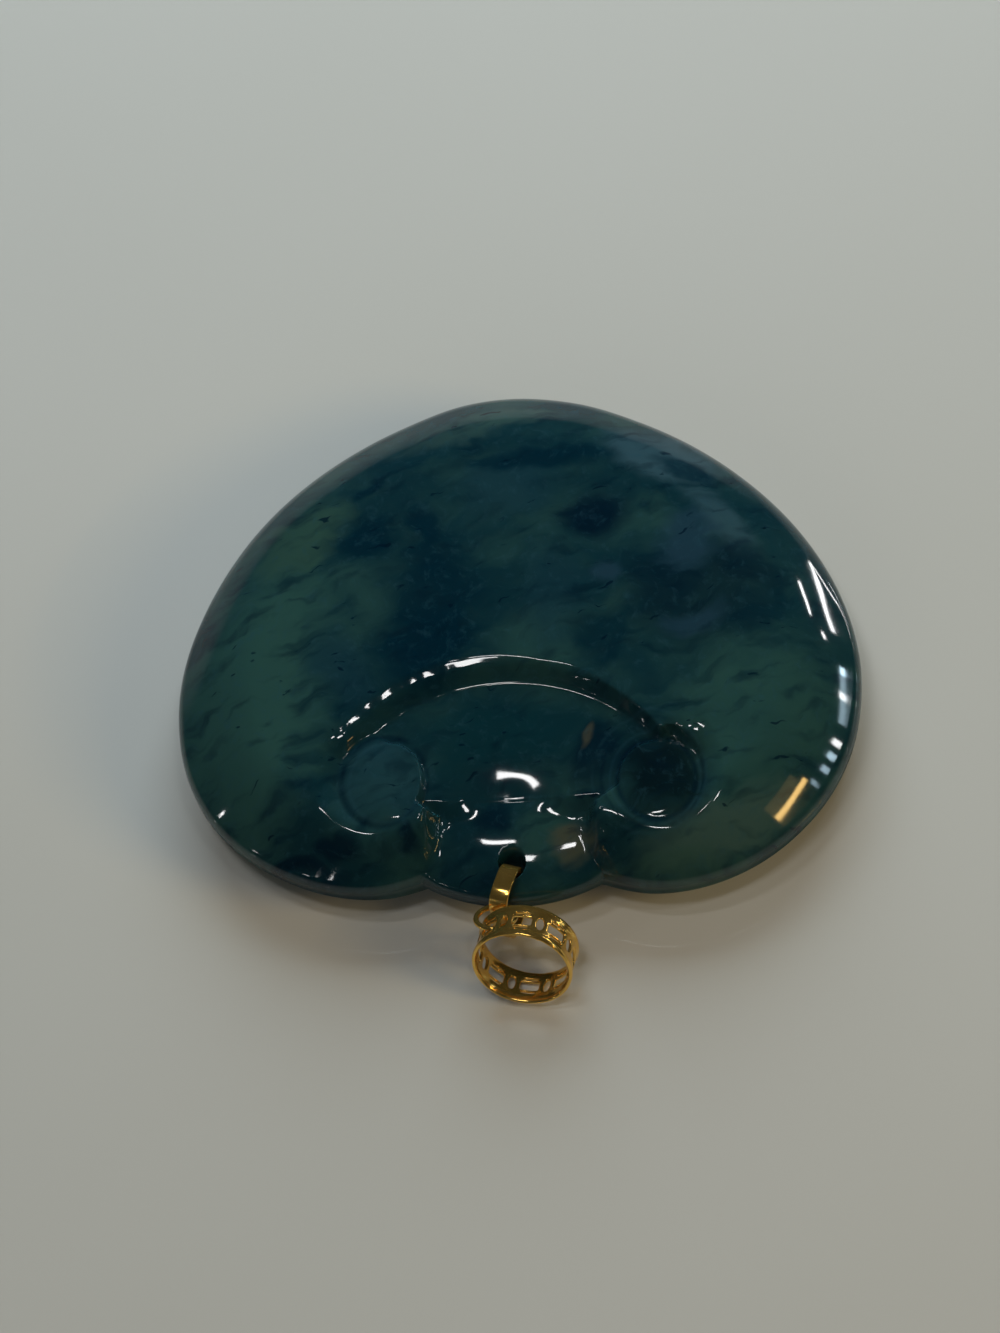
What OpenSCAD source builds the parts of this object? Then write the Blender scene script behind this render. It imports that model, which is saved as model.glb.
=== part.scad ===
// Jade pendant: a carved cloud head of translucent jade, lying on its flat back, with a flat gold
// strip link through the hole in its middle lobe, and a small jump ring that joins the link to a
// pierced gold bail ring. Millimetres. The origin is on the flat back under the middle of the
// head, with +Z up out of the carved front and +Y towards the tip of the head, so that the bail
// ring lies towards -Y.

/* [Carved head] */
// Width across the two side lobes
head_w = 40; // [36:1:44]
// Thickness at the crown
head_t = 8.1; // [7.6:0.1:8.6]
// Height of the widest line of the rounded edge above the back
edge_z = 3.5; // [3.3:0.1:3.7]
// Height of the step from the crown down into the recess
riser_drop = 1.4; // [0.9:0.1:1.6]
// Radius of the groove round each volute, where it starts
volute_r = 2.7; // [2.4:0.1:2.9]
// Facets around the head
head_facets = 150; // [90:30:150]

/* [Hole and strip link] */
// Diameter of the hole drilled through the middle lobe
hole_d = 1.56; // [1.5:0.02:1.7]
// Distance from the hole's axis to the end of the middle lobe
hole_inset = 1.8; // [1.75:0.05:1.9]
// Width of the gold strip
strip_w = 1; // [0.9:0.02:1.04]
// Thickness of the gold strip
strip_t = 0.26; // [0.22:0.02:0.28]
// Angle that the link is turned by, about the hole's axis
link_turn = 17.2; // [15:0.1:19]

/* [Bail ring] */
// Outside diameter of the ring
bail_d = 5.9; // [5.8:0.05:6]
// Width of the ring along its axis
bail_w = 2.35; // [2.3:0.01:2.4]
// Inside diameter of the ring at its rims
bail_bore = 5.2; // [5.1:0.05:5.25]

/* [Jump ring] */
// Wire thickness of the jump ring
jump_wire = 0.34; // [0.28:0.02:0.36]
// Inside diameter of the jump ring
jump_bore = 1.94; // [1.9:0.01:1.98]

/* [Hidden] */
$fn = 96;
// How far a cut runs past the surface that it opens.
through = 1;

// All plan sizes of the carving are for a head of this width and grow with it.
drawn_w = 40;
plan = head_w / drawn_w;

// The plan is worked out in polar form about this point, in the middle of the recess.
hub = [0, -7] * plan;

// Right half of the outline from the tip round the side lobe to where the middle lobe hides it:
// x, y.
side_outline = [
    [0, 16.7], [3.3, 16.25], [7.2, 14.7], [12.85, 10.95], [16.6, 6.8], [18.7, 3], [19.85, -1],
    [20, -4.2], [19.3, -8], [17.4, -11.5], [13.4, -14.9], [8.4, -16.15], [5, -15.4], [2.4, -14.2],
    [0, -13.6]
];
// The middle lobe's end is a shallow arc of this radius about a point on the centre line.
lobe_arc_r = 10.3 * plan;
lobe_end_y = -16.8 * plan;
// Width over which the notch between the lobes is rounded.
notch_soft = 0.12;
// The left side lobe is smaller than the right one by this much, from this angle below the hub.
left_trim = 0.35;
left_trim_from = 12;
left_trim_over = 25;

// Border of the carved middle, which the rings of facets follow: angle about the hub, radius.
carved_border = [
    [-90, 5.2], [-60, 5.8], [-47, 8.4], [-30, 11.4], [-10, 12.4], [0, 11.6], [13, 8.7], [28.5, 6.8],
    [60, 5.2], [90, 4.8]
];

// Rounded shoulder: how far it reaches in from the outline, above and below, and its fullness.
shoulder_top = 4.6;
shoulder_back = 4.2;
shoulder_power = 2.5;
crown_rise = 1.4;
shoulder_rise = head_t - edge_z - crown_rise;
crown_half = [20.5, 17.5] * plan;

// The arched riser: both its lines are arcs about one point on the centre line, and the upper one
// opens outwards towards the ends.
arch_y = -13.9 * plan;
arch_foot_r = 10.4 * plan;
arch_ridge_r = 11.3 * plan;
arch_opening = 0.0135 / plan;
ridge_soft = 0.35;
foot_soft = 0.12;
// The recess is a dish: how much deeper its middle is, where, and how far the dish reaches.
dish_drop = 0.75;
dish_mid = [-0.5, -8.2] * plan;
dish_half = [7, 4] * plan;

// The middle lobe: where it meets the recess, and how far it lies under the crown.
lobe_line_y = -11.2 * plan;
lobe_drop = 1.5;
lobe_lip = 0.35;
// Its flanks: half the width between them, their softness, and how they spread above a line.
flank_half = 4.7 * plan;
flank_soft = 1.1;
flank_mid = 0.1;
flank_spread = 1.43;
flank_spread_y = -12.2 * plan;
// The groove along each flank: its depth, half width, distance in from the flank, and fading.
flank_groove = 0.3;
flank_groove_w = 0.45;
flank_groove_in = 0.3;
flank_groove_top_y = flank_spread_y + 1;
flank_groove_fade = 1.5;

// Volutes: centre x, centre y, side, which is 1 on the right and -1 on the left.
volutes = [[8.1, -9.9, 1], [-7.5, -9.7, -1]];
// The groove starts at this angle above the outward direction and runs down round the volute
// through the angle of its turns, while it closes in and grows shallower.
groove_start = 65;
groove_turns = 290;
groove_closing = 0.26;
groove_fading = 0.42;
groove_fades = 200;
groove_rises = 60;
groove_ends = 40;
groove_past = 20;
// Width of the wall outside the groove where it starts and where it ends, and its hollowness.
wall_start = 1.6;
wall_end = 0.6;
wall_power = 1.5;
// Depth of the button's middle under the crown, and how full the button is.
button_drop = 0.45;
button_power = 3.2;
button_soft = 0.5;

// Hollow ground into the back of the lobe round the hole, so that the link clears the ground.
hollow_depth = 0.85;
hollow_r = 2.2;

// Facet rings: on the shoulder, across the crown, inside the carved border, and under the edge,
// and the least distance from one ring across the crown to the next.
rings_shoulder = 7;
rings_crown = 6;
rings_carved = 20;
rings_back = 6;
ring_step = 0.01;

hole_at = [0, lobe_end_y + hole_inset];

// Link: how far its outer side stands from the lobe's end, its lowest and highest points.
link_gap = 0.69;
link_low = 0.42;
link_high = 5.85;
link_corner = 1.17;
link_reach = hole_inset + link_gap + strip_t / 2;
link_span = link_reach / cos(link_turn);
link_out = hole_at + link_span * [-sin(link_turn), -cos(link_turn)];

// Bail ring: the pierced band lies between two rims and is a little thinner than they are.
rim_front_w = 0.42;
rim_back_w = 0.36;
rim_round = 0.15;
band_inner = bail_bore / 2 + 0.05;
band_outer = bail_d / 2 - 0.08;
band_mid = (rim_back_w - rim_front_w) / 2;
// The openwork: repeats round the band, and the width and height of each kind of gap in it.
bail_repeats = 8;
window = [1.1, 0.62];
slit = [0.85, 0.14];
slit_off = 0.52;
lens = [0.44, 0.98];
lens_r = (pow(lens.x / 2, 2) + pow(lens.y / 2, 2)) / lens.x;
// The ring stands on the ground, leaning back: the rise and heading of its axis, and its spin.
bail_rise = 16.3;
bail_heading = -98.95;
bail_spin = 1.5;
bail_z = (bail_d / 2 - rim_round) * cos(bail_rise) + (bail_w / 2 - rim_round) * sin(bail_rise)
    + rim_round;
bail_turn = [0, 90 - bail_rise, bail_heading];

// The jump ring passes round the back rim, through a window of the band, and round the link's
// outer side. Its centre in the bail ring's own frame: angle about the axis, radius, height.
jump_r = (jump_bore + jump_wire) / 2;
jump_hang = 0.98;
jump_at = [-130.2, 2.483, band_mid - jump_hang * jump_r];
// How its axis is turned in the bail ring's own frame, and where the link runs through it.
jump_facing = [0, 78.8, 6];
link_in_jump = [0.15, 0.45];
jump_local = [jump_at.y * cos(jump_at.x), jump_at.y * sin(jump_at.x), jump_at.z];
jump_turned = turn_point(jump_local, bail_turn.y, bail_turn.z);
bail_centre = [
    link_out.x - link_in_jump.x - jump_turned.x, link_out.y - link_in_jump.y - jump_turned.y, bail_z
];

// A point turned about the y axis and then about the z axis.
function turn_point(p, about_y, about_z) =
    let (
        x = p.x * cos(about_y) + p.z * sin(about_y),
        z = p.z * cos(about_y) - p.x * sin(about_y)
    )
    [x * cos(about_z) - p.y * sin(about_z), x * sin(about_z) + p.y * cos(about_z), z];

// The larger or smaller of two values, with the corner between them rounded over a width.
function soft_max(a, b, w) = max(a, b) + pow(max(w - abs(a - b), 0), 2) / (4 * w);
function soft_min(a, b, w) = -soft_max(-a, -b, w);
// A smooth rise from 0 to 1 as u goes from 0 to 1, or as u crosses 0 within a width.
function clamp01(u) = min(max(u, 0), 1);
function ease(u) = let (c = clamp01(u)) c * c * (3 - 2 * c);
function ease_across(u, w) = ease(u / w + 1 / 2);

// Smooth curve through a table of [angle, radius] rows in rising order, level at both ends.
function slope_at(rows, i) =
    i == 0 || i == len(rows) - 1 ? 0
    : (rows[i + 1][1] - rows[i - 1][1]) / (rows[i + 1][0] - rows[i - 1][0]);
function row_below(rows, angle) = max([for (i = [0:len(rows) - 2]) if (rows[i][0] <= angle) i]);
function radius_at(rows, angle) =
    let (
        i = row_below(rows, angle),
        step = rows[i + 1][0] - rows[i][0],
        t = (angle - rows[i][0]) / step
    )
    rows[i][1] * (1 + 2 * t) * pow(1 - t, 2) + rows[i + 1][1] * t * t * (3 - 2 * t)
    + step * t * (1 - t) * (slope_at(rows, i) * (1 - t) - slope_at(rows, i + 1) * t);

// The outline's points as [angle, radius] about the hub, from the lobe side up to the tip.
outline_rows = [
    for (i = [len(side_outline) - 1:-1:0])
        let (p = side_outline[i] * plan - hub) [atan2(p.y, p.x), norm(p)]
];
border_rows = [for (row = carved_border) [row[0], row[1] * plan]];
lobe_arc_off = lobe_end_y + lobe_arc_r - hub.y;

// Radius of the outline at a direction about the hub: the side lobe or the middle lobe's arc,
// whichever lies farther out.
function half_angle(turn) = atan2(sin(turn), abs(cos(turn)));
function lobe_trim(turn) =
    cos(turn) < 0 ? left_trim * ease((-half_angle(turn) - left_trim_from) / left_trim_over) : 0;
function outline_r(turn) = soft_max(
    radius_at(outline_rows, half_angle(turn)) - lobe_trim(turn),
    lobe_arc_off * sin(turn) + sqrt(pow(lobe_arc_r, 2) - pow(lobe_arc_off * cos(turn), 2)),
    notch_soft
);
function border_r(turn) =
    min(radius_at(border_rows, half_angle(turn)), outline_r(turn) - shoulder_top);

// Share of the shoulder's full rise at a distance in from the outline.
function shoulder(inset, reach) = sqrt(1 - pow(1 - clamp01(inset / reach), shoulder_power));

// Depth of the riser and recess under the crown.
function riser_depth(x, y) =
    let (
        q = norm([x, y - arch_y]),
        ridge = arch_ridge_r + arch_opening * x * x,
        fall = riser_drop * (ridge - q) / (ridge - arch_foot_r)
    )
    soft_min(soft_max(fall, 0, ridge_soft), riser_drop, foot_soft);
function dish_depth(x, y) =
    dish_drop * ease(1 - norm([(x - dish_mid.x) / dish_half.x, (y - dish_mid.y) / dish_half.y]));

// Share of the sunk middle that remains between the flanks of the side lobes.
function flank_share(x, y) =
    let (half = flank_half + max(y - flank_spread_y, 0) * flank_spread)
    ease_across(half - abs(x + flank_mid * sign(x)), flank_soft);
function flank_groove_depth(x, y) =
    flank_groove * ease(1 - abs(abs(x) - flank_half + flank_groove_in) / flank_groove_w)
    * ease((flank_groove_top_y - y) / flank_groove_fade);
// Depth of the whole sunk middle: the recess above the lobe's line and the lobe below it.
function sunk_depth(x, y) =
    let (
        on_lobe = ease((lobe_line_y - y) / lobe_lip),
        recess = riser_depth(x, y) + dish_depth(x, y) * (1 - on_lobe)
    )
    (recess * (1 - on_lobe) + min(recess, lobe_drop) * on_lobe) * flank_share(x, y)
    + flank_groove_depth(x, y);

// Volute: distance from its centre, and the angle run through since the groove's start.
function volute_distance(v, x, y) = norm([x - v.x * plan, y - v.y * plan]);
function volute_run(v, x, y) =
    let (away = atan2(y - v.y * plan, (x - v.x * plan) * v.z)) (groove_start - away + 360) % 360;
function groove_r(run) = volute_r * plan * (1 - groove_closing * clamp01(run / groove_turns));
function groove_drop(run) =
    riser_drop * (1 - groove_fading * ease(run / groove_fades) * ease((360 - run) / groove_rises));
function groove_share(run) =
    ease(run / groove_ends) * ease((groove_turns + groove_past - run) / groove_ends);
function wall_width(run) = wall_start + (wall_end - wall_start) * clamp01(run / groove_turns);
// The wall outside the groove.
function wall_depth(v, x, y) =
    let (
        run = volute_run(v, x, y),
        beyond = max(volute_distance(v, x, y) - groove_r(run), 0)
    )
    groove_drop(run) * groove_share(run) * pow(clamp01(1 - beyond / wall_width(run)), wall_power);
// The button inside the groove.
function button_depth(v, x, y) =
    let (run = volute_run(v, x, y), share = min(volute_distance(v, x, y) / groove_r(run), 1))
    button_drop + (groove_drop(run) - button_drop) * pow(share, button_power);
function inside_share(v, x, y) =
    ease_across(groove_r(volute_run(v, x, y)) - volute_distance(v, x, y), button_soft);

function carve_depth(x, y) =
    let (
        v = x > 0 ? volutes[0] : volutes[1],
        inside = inside_share(v, x, y),
        outside = max(sunk_depth(x, y), wall_depth(v, x, y))
    )
    outside * (1 - inside) + button_depth(v, x, y) * inside;

// Height of the carved front and of the back at a point of the plan.
function front_z(x, y, inset) =
    let (
        crown = 1 - pow(x / crown_half.x, 2) - pow(y / crown_half.y, 2),
        full = shoulder(inset, shoulder_top)
    )
    edge_z + full * (shoulder_rise + crown_rise * max(crown, 0) - carve_depth(x, y) * full);
function hollow(x, y) =
    hollow_depth * pow(1 - pow(clamp01(norm([x, y] - hole_at) / hollow_r), 2), 2);
function back_z(x, y, inset) =
    let (full = shoulder(inset, shoulder_back)) edge_z * (1 - full) + hollow(x, y) * full;

// Distance in from the outline of ring i of n across a shoulder, closest together at the edge.
function shoulder_inset(i, n, reach) = reach * (1 - cos(90 * i / n));

// Direction of each facet corner about the hub.
turns = [for (i = [0:head_facets - 1]) 360 * i / head_facets];

// The points of one ring, from its radius in each direction.
function ring_points(radii, is_front) = [
    for (i = [0:head_facets - 1])
        let (
            x = hub.x + radii[i] * cos(turns[i]),
            y = hub.y + radii[i] * sin(turns[i]),
            inset = max(outline_r(turns[i]) - radii[i], 0)
        )
        [x, y, is_front ? front_z(x, y, inset) : back_z(x, y, inset)]
];

module jade_head() {
    edge = [for (turn = turns) outline_r(turn)];
    border = [for (turn = turns) border_r(turn)];
    back_radii = [
        for (k = [rings_back:-1:1])
            [for (r = edge) r - shoulder_inset(k, rings_back, shoulder_back)]
    ];
    shoulder_radii = [
        for (k = [0:rings_shoulder])
            [for (r = edge) r - shoulder_inset(k, rings_shoulder, shoulder_top)]
    ];
    crown_radii = [
        for (k = [1:rings_crown])
            [for (i = [0:head_facets - 1])
                let (start = edge[i] - shoulder_top)
                start + (border[i] - start) * k / rings_crown - ring_step * k]
    ];
    carved_radii = [
        for (k = [1:rings_carved - 1])
            [for (r = border) (r - ring_step * rings_crown) * (1 - k / rings_carved)]
    ];
    front_radii = concat(shoulder_radii, crown_radii, carved_radii);
    points = concat(
        [for (radii = back_radii) each ring_points(radii, false)],
        [for (radii = front_radii) each ring_points(radii, true)],
        [[hub.x, hub.y, front_z(hub.x, hub.y, shoulder_top)]]
    );
    rings = len(back_radii) + len(front_radii);
    top = len(points) - 1;
    back_face = [for (i = [0:head_facets - 1]) i];
    ring_faces = [
        for (k = [0:rings - 2], i = [0:head_facets - 1])
            let (
                a = k * head_facets + i,
                b = k * head_facets + (i + 1) % head_facets,
                c = b + head_facets,
                d = a + head_facets
            )
            each [[a, d, c], [a, c, b]]
    ];
    hub_faces = [
        for (i = [0:head_facets - 1])
            let (k = (rings - 1) * head_facets)
            [k + i, top, k + (i + 1) % head_facets]
    ];
    color("darkslategray")
    difference() {
        polyhedron(points, concat([back_face], ring_faces, hub_faces));
        translate([hole_at.x, hole_at.y, -through])
        cylinder(h = head_t + 2 * through, d = hole_d);
    }
}

// A rectangle with round corners, standing with its lower left corner at the origin.
module round_rectangle(size, r) {
    translate([r, 0]) square([size.x - 2 * r, size.y]);
    translate([0, r]) square([size.x, size.y - 2 * r]);
    for (x = [r, size.x - r], y = [r, size.y - r]) translate([x, y]) circle(r);
}

module strip_link() {
    outer = [link_span + strip_t, link_high - link_low];
    color("goldenrod")
    translate([hole_at.x, hole_at.y, link_low])
    rotate([90, 0, -90 - link_turn])
    translate([-strip_t / 2, 0, -strip_w / 2])
    linear_extrude(strip_w)
    difference() {
        round_rectangle(outer, link_corner);
        translate([strip_t, strip_t])
        round_rectangle(outer - 2 * strip_t * [1, 1], link_corner - strip_t);
    }
}

// Section of the ring on one side of its axis: two rims with round outsides, and the band.
module rim_section(width) {
    translate([bail_bore / 2, 0]) square([(bail_d - bail_bore) / 2 - rim_round, width]);
    translate([bail_d / 2 - 2 * rim_round, rim_round])
    square([2 * rim_round, width - 2 * rim_round]);
    for (y = [rim_round, width - rim_round])
        translate([bail_d / 2 - rim_round, y]) circle(rim_round);
}

module ring_body() {
    rotate_extrude() {
        translate([0, -bail_w / 2]) rim_section(rim_back_w);
        translate([0, bail_w / 2 - rim_front_w]) rim_section(rim_front_w);
        translate([band_inner, -bail_w / 2 + rim_round])
        square([band_outer - band_inner, bail_w - 2 * rim_round]);
    }
}

// One repeat of the openwork: a window with a slit on each side of it, and an upright lens.
module pierced_repeat() {
    rotate([90, 0, 90]) linear_extrude(bail_d / 2 + through) {
        square(window, center = true);
        for (side = [-1, 1]) translate([0, side * slit_off]) square(slit, center = true);
    }
    rotate([90, 0, 90 + 180 / bail_repeats])
    linear_extrude(bail_d / 2 + through)
    intersection_for (side = [-1, 1])
        translate([side * (lens_r - lens.x / 2), 0]) circle(lens_r);
}

module bail_ring() {
    color("gold")
    translate(bail_centre)
    rotate(bail_turn)
    difference() {
        ring_body();
        translate([0, 0, band_mid])
        rotate([0, 0, bail_spin])
        for (i = [0:bail_repeats - 1]) rotate([0, 0, i * 360 / bail_repeats]) pierced_repeat();
    }
}

module jump_ring() {
    color("orange")
    translate(bail_centre)
    rotate(bail_turn)
    translate(jump_local)
    rotate(jump_facing)
    rotate_extrude() translate([jump_r, 0]) circle(jump_wire / 2);
}

jade_head();
strip_link();
jump_ring();
bail_ring();
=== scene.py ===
# Jade pendant lying on a pale table: a carved cloud head of dark translucent jade, hung by a flat
# gold strip link and a small jump ring from a pierced gold ring bail. Sizes below are millimetres
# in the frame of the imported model, and every mesh is scaled to metres when it is made.
import math

import bmesh
import bpy
import numpy as np
from mathutils import Euler, Matrix, Vector


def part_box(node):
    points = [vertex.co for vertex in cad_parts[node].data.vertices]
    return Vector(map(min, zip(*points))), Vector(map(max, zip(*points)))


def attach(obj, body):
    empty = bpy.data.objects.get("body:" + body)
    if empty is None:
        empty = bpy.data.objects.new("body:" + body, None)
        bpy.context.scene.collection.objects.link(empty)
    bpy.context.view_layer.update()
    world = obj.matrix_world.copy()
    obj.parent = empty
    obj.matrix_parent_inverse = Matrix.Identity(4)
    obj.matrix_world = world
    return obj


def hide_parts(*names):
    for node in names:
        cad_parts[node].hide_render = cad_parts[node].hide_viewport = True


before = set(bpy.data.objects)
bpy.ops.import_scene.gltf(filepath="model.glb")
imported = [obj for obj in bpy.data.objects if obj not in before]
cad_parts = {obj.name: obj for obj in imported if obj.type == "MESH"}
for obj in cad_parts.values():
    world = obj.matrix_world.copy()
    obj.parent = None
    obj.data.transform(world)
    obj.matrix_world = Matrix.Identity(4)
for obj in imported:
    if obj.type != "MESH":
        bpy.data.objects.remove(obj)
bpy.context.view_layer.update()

MM = 0.001
BODY = "root"


# Nodes

class Wire:
    """An output of a node. Arithmetic on it adds Math nodes to its tree."""

    def __init__(self, tree, socket):
        self.tree = tree
        self.socket = socket

    def math(self, operation, *values):
        made = self.tree.nodes.new("ShaderNodeMath")
        made.operation = operation
        for place, value in enumerate(values):
            plug(self.tree, made.inputs[place], value)
        return Wire(self.tree, made.outputs[0])

    def __add__(self, other):
        return self.math("ADD", self, other)

    def __radd__(self, other):
        return self.math("ADD", other, self)

    def __sub__(self, other):
        return self.math("SUBTRACT", self, other)

    def __rsub__(self, other):
        return self.math("SUBTRACT", other, self)

    def __mul__(self, other):
        return self.math("MULTIPLY", self, other)

    def __rmul__(self, other):
        return self.math("MULTIPLY", other, self)

    def __truediv__(self, other):
        return self.math("DIVIDE", self, other)

    def __rtruediv__(self, other):
        return self.math("DIVIDE", other, self)

    def __abs__(self):
        return self.math("ABSOLUTE", self)


def plug(tree, socket, value):
    """Links a wire to a socket, or sets the socket's own value."""
    if isinstance(value, Wire):
        tree.links.new(value.socket, socket)
    else:
        socket.default_value = value


# The value that a noise varies about.
NOISE_MIDDLE = 0.5


class Tree:
    """Adds nodes to one node tree."""

    def __init__(self, tree):
        self.tree = tree

    def add(self, kind, settings=None, inputs=None, output=0):
        """A node of this type: its settings first, then its sockets. Returns one of its outputs,
        if it has any."""
        made = self.tree.nodes.new(kind)
        for name, value in (settings or {}).items():
            setattr(made, name, value)
        for name, value in (inputs or {}).items():
            plug(self.tree, made.inputs[name], value)
        return Wire(self.tree, made.outputs[output]) if made.outputs else None

    def drift(self, vector, scale, detail, reach):
        """A soft random shift, this far at most from end to end."""
        noise = self.add("ShaderNodeTexNoise", {},
                         {"Vector": vector, "Scale": scale, "Detail": detail}, output="Color")
        noise = self.add("ShaderNodeVectorMath", {"operation": "SUBTRACT"},
                         {0: noise, 1: (NOISE_MIDDLE,) * 3})
        return self.add("ShaderNodeVectorMath", {"operation": "SCALE"}, {0: noise, "Scale": reach})


# Places of the colour sockets of a Mix node: its two inputs and its result.
MIX_FIRST = 6
MIX_SECOND = 7
MIX_RESULT = 2


def opaque(colour):
    """A colour of three numbers with full alpha. A wire stays as it is."""
    return colour if isinstance(colour, Wire) else (*colour, 1.0)


class Shader(Tree):
    """A new material and the nodes that its finish is made of."""

    def __init__(self, name):
        self.material = bpy.data.materials.new(name)
        self.material.use_nodes = True
        super().__init__(self.material.node_tree)
        self.tree.nodes.clear()

    def millimetres(self):
        """The point on the object, in millimetres."""
        point = self.add("ShaderNodeTexCoord", output="Object")
        return self.add("ShaderNodeVectorMath", {"operation": "SCALE"},
                        {"Vector": point, "Scale": 1 / MM})

    def noise(self, vector, scale, detail, roughness):
        return self.add("ShaderNodeTexNoise", {},
                        {"Vector": vector, "Scale": scale, "Detail": detail,
                         "Roughness": roughness}, output="Fac")

    def rise(self, value, low, high):
        """Goes smoothly from 0 to 1 as the value goes from low to high."""
        return self.add("ShaderNodeMapRange", {"interpolation_type": "SMOOTHSTEP"},
                        {"Value": value, "From Min": low, "From Max": high})

    def in_oval(self, vector, x, y, long, wide, turn):
        """The point seen from an oval's middle, in its half lengths and half widths."""
        return self.add("ShaderNodeMapping", {"vector_type": "TEXTURE"},
                        {"Vector": vector, "Location": (x, y, 0.0),
                         "Rotation": (0.0, 0.0, math.radians(turn)),
                         "Scale": (long, wide, OVAL_DEPTH)})

    def out_of_oval(self, vector, x, y, long, wide, turn):
        """Distance from an oval's middle: 1 is its edge."""
        inside = self.in_oval(vector, x, y, long, wide, turn)
        return self.add("ShaderNodeVectorMath", {"operation": "LENGTH"}, {0: inside}, output="Value")

    def mix(self, share, first, second):
        """The first colour where the share is 0, and the second where it is 1."""
        return self.add("ShaderNodeMix", {"data_type": "RGBA"},
                        {"Factor": share, MIX_FIRST: opaque(first), MIX_SECOND: opaque(second)},
                        output=MIX_RESULT)

    def finish(self, inputs):
        """The surface: a Principled shader with these sockets. Returns the material."""
        surface = self.add("ShaderNodeBsdfPrincipled", {}, inputs, output="BSDF")
        self.add("ShaderNodeOutputMaterial", {}, {"Surface": surface})
        return self.material


# Meshes

def ease(u):
    """Rises smoothly from 0 to 1 as u does, and is level beyond."""
    u = np.clip(u, 0, 1)
    return u * u * (3 - 2 * u)


def ease_across(u, width):
    """Rises smoothly from 0 to 1 as u crosses 0, over this width."""
    return ease(u / width + 0.5)


def soft_max(a, b, width):
    """The larger of two values, with the corner between them rounded over this width."""
    return np.maximum(a, b) + np.maximum(width - np.abs(a - b), 0) ** 2 / (4 * width)


def soft_min(a, b, width):
    return -soft_max(-a, -b, width)


def away_from(middle, x, y):
    """Distance from a middle, whose X and Y come first."""
    return np.hypot(x - middle[0], y - middle[1])


def new_object(name, data):
    made = bpy.data.objects.new(name, data)
    bpy.context.scene.collection.objects.link(made)
    return made


def new_mesh(name, points, faces):
    mesh = bpy.data.meshes.new(name)
    mesh.from_pydata(np.asarray(points, float).tolist(), [], faces)
    mesh.validate()
    return mesh


def lathe(name, profile, sides):
    """A closed solid turned about Z from a profile of radius and height, bottom to top."""
    points, faces = [], []
    for radius, height in profile:
        for i in range(sides):
            turn = 2 * math.pi * i / sides
            points.append((radius * math.cos(turn), radius * math.sin(turn), height))
    for k in range(len(profile) - 1):
        a, b = k * sides, (k + 1) * sides
        faces += [[a + i, a + (i + 1) % sides, b + (i + 1) % sides, b + i] for i in range(sides)]
    faces.append(list(range(sides))[::-1])
    faces.append([(len(profile) - 1) * sides + i for i in range(sides)])
    return new_mesh(name, points, faces)


def apply_modifiers(made):
    """Makes the result of the object's modifiers its plain mesh."""
    graph = bpy.context.evaluated_depsgraph_get()
    mesh = bpy.data.meshes.new_from_object(made.evaluated_get(graph))
    made.modifiers.clear()
    made.data = mesh


def keep_piece(made, nodes):
    """Puts a finished piece on the body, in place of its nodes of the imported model."""
    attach(made, BODY)
    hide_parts(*nodes)


# Carved head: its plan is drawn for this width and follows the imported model's own.

DRAWN_W = 40.04
head_low, head_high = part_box("jade_head")
PLAN = (head_high.x - head_low.x) / MM / DRAWN_W
HEAD_T = head_high.z / MM
# Height of the widest edge.
EDGE_Z = 3.5
# The point that the rings of the mesh run round. Closer to it than this, a direction is level.
HUB = np.array([0.0, -7.0]) * PLAN
HUB_CLEAR = 0.01
# Right half of the outline from the tip round the side lobe to under the middle lobe.
SIDE_OUTLINE = [
    (0, 16.7), (3.3, 16.25), (7.2, 14.7), (12.85, 10.95), (16.6, 6.8), (18.7, 3), (19.85, -1),
    (20, -4.2), (19.3, -8), (17.4, -11.5), (13.4, -14.9), (8.4, -16.15), (5, -15.4), (2.4, -14.2),
    (0, -13.6),
]
# The middle lobe ends in an arc, which meets the side lobes in a soft notch.
LOBE_ARC_R = 10.3 * PLAN
LOBE_END_Y = -16.8 * PLAN
NOTCH_SOFT = 0.06
# The left half lies a little further in at the bottom and further out at the top: how far, and
# from which angle and over how many degrees. Over the tip, what it gains fades out.
LEFT_TRIM = 0.3
LEFT_TRIM_FROM = 12
LEFT_TRIM_OVER = 22
LEFT_SWELL = 0.28
LEFT_SWELL_FROM = 25
LEFT_SWELL_OVER = 30
LEFT_SWELL_FADE = 0.3
# Border of the carved middle: angle about the hub, radius.
CARVED_BORDER = [
    (-90, 5.2), (-60, 5.8), (-47, 8.4), (-30, 11.4), (-10, 12.4), (0, 11.6), (13, 8.7), (28.5, 6.8),
    (60, 5.2), (90, 4.8),
]

# The shoulder is a tight round at the edge up to a tilt, and then eases to level this far in.
# Radius of the round and tilt in degrees, at the sides and at the tip. The one turns into the
# other as the way from the hub points upwards.
SHOULDER_TOP = 5.2
SHOULDER_STEPS = 2001
EASING_POWER = 1.6
SIDE_EDGE = (1.0, 38)
TIP_EDGE = (2.0, 31)
TIP_FROM = 0.3
TIP_OVER = 0.5
# Under the edge the stone rounds in over this breadth to its flat back.
SHOULDER_BACK = 7.0
BACK_POWER = 1.85
# The crown rises from the shoulder to the middle, and ends softly where it would fall below it.
CROWN_RISE = 1.4
CROWN_SOFT = 0.2
SHOULDER_RISE = HEAD_T - EDGE_Z - CROWN_RISE
CROWN_HALF = np.array([20.5, 17.5]) * PLAN
# The whole front lies this much lower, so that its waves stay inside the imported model's box.
WAVES_CLEAR = 0.028

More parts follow.
